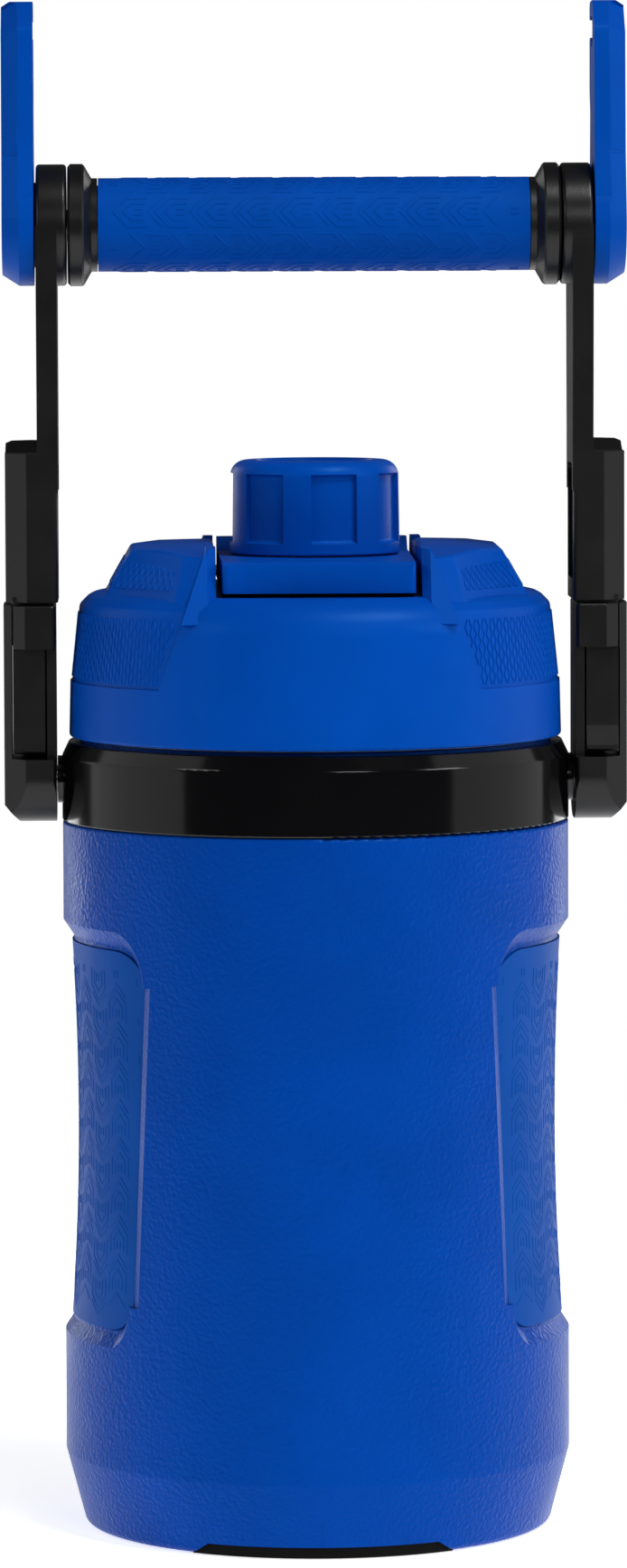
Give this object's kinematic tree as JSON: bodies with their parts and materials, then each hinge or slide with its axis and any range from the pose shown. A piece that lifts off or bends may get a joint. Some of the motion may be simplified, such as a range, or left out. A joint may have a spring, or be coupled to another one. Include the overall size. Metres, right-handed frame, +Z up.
{
  "type": "insulated sports jug",
  "caption": "Insulated hand-carried water jug with a screw-on spout lid, a tethered screw cap, and a telescoping swing-over carry handle with fold-down fence hooks.",
  "frame": {"origin": "centre of the base on the floor", "axes": "+Z up along the body, front towards -Y, +X to the viewer's right when facing the front"},
  "size_m": [0.1618, 0.132, 0.3966],
  "materials": {
    "shell_blue": "moulded polyethylene, fine pebble texture",
    "lid_blue": "moulded polypropylene, satin",
    "hook_blue": "moulded nylon, satin",
    "pad_blue": "soft grip elastomer with raised lines",
    "grip_blue": "soft sleeve with raised arrowheads",
    "band_black": "polished moulded plastic",
    "handle_black": "satin moulded plastic",
    "liner_white": "smooth food grade plastic",
    "rubber_black": "soft non-slip rubber",
    "foam": "rigid insulating foam",
    "silicone": "soft seal",
    "steel": "plated steel"
  },
  "bodies": {
    "jug": {"outer_shell": "shell_blue", "foam_core": "foam", "inner_liner": "liner_white", "grip_pad_right": "pad_blue", "grip_pad_left": "pad_blue", "collar_band": "band_black", "foot_ring": "rubber_black", "base_plug": "shell_blue", "pivot_anchors": "handle_black", "pivot_bolts": "steel"},
    "lid_seal": {"lid_gasket": "silicone"},
    "lid": {"lid_shell": "lid_blue", "lid_inner": "liner_white", "lid_foam": "foam", "spout": "liner_white", "spout_seal": "silicone"},
    "tether": {"tether_plate": "lid_blue", "tether_pin": "steel"},
    "cap": {"cap_shell": "lid_blue", "cap_liner": "liner_white", "cap_gasket": "silicone", "cap_retainer": "liner_white"},
    "links": {"link_right": "handle_black", "link_left": "handle_black", "pivot_covers": "handle_black"},
    "handle": {"arm_right": "handle_black", "arm_left": "handle_black", "grip_core": "handle_black", "grip_sleeve": "grip_blue", "hook_axle": "steel", "hook_screws": "steel"},
    "hook_r": {"hook_right": "hook_blue"},
    "hook_l": {"hook_left": "hook_blue"}
  },
  "joints": [
    {"name": "handle_swing", "type": "hinge", "parent": "jug", "child": "links", "pos_m": [0, 0, 0.195], "axis": [1, 0, 0], "range_deg": [-145, 145]},
    {"name": "handle_slide", "type": "slide", "parent": "links", "child": "handle", "axis": [0, 0, 1], "range_m": [0, 0.02]},
    {"name": "hook_fold_right", "type": "hinge", "parent": "handle", "child": "hook_r", "pos_m": [0.0765, 0, 0.339], "axis": [1, 0, 0], "range_deg": [0, 180]},
    {"name": "hook_fold_left", "type": "hinge", "parent": "handle", "child": "hook_l", "pos_m": [-0.0765, 0, 0.339], "axis": [1, 0, 0], "range_deg": [0, 180]},
    {"name": "lid_lift", "type": "slide", "parent": "jug", "child": "lid_seal", "axis": [0, 0, 1], "range_m": [0, 0.0066]},
    {"name": "lid_twist", "type": "hinge", "parent": "lid_seal", "child": "lid", "pos_m": [0, 0, 0.22], "axis": [0, 0, 1], "range_deg": [0, 396]},
    {"name": "cap_lift", "type": "slide", "parent": "lid", "child": "tether", "axis": [0, 0, 1], "range_m": [0, 0.0045]},
    {"name": "cap_twist", "type": "hinge", "parent": "tether", "child": "cap", "pos_m": [0, 0, 0.26], "axis": [0, 0, 1], "range_deg": [0, 324]}
  ],
  "couplings": [
    {"joint": "lid_lift", "follows": "lid_twist", "m_per_rad": 0.00095492},
    {"joint": "cap_lift", "follows": "cap_twist", "m_per_rad": 0.00079577}
  ]
}
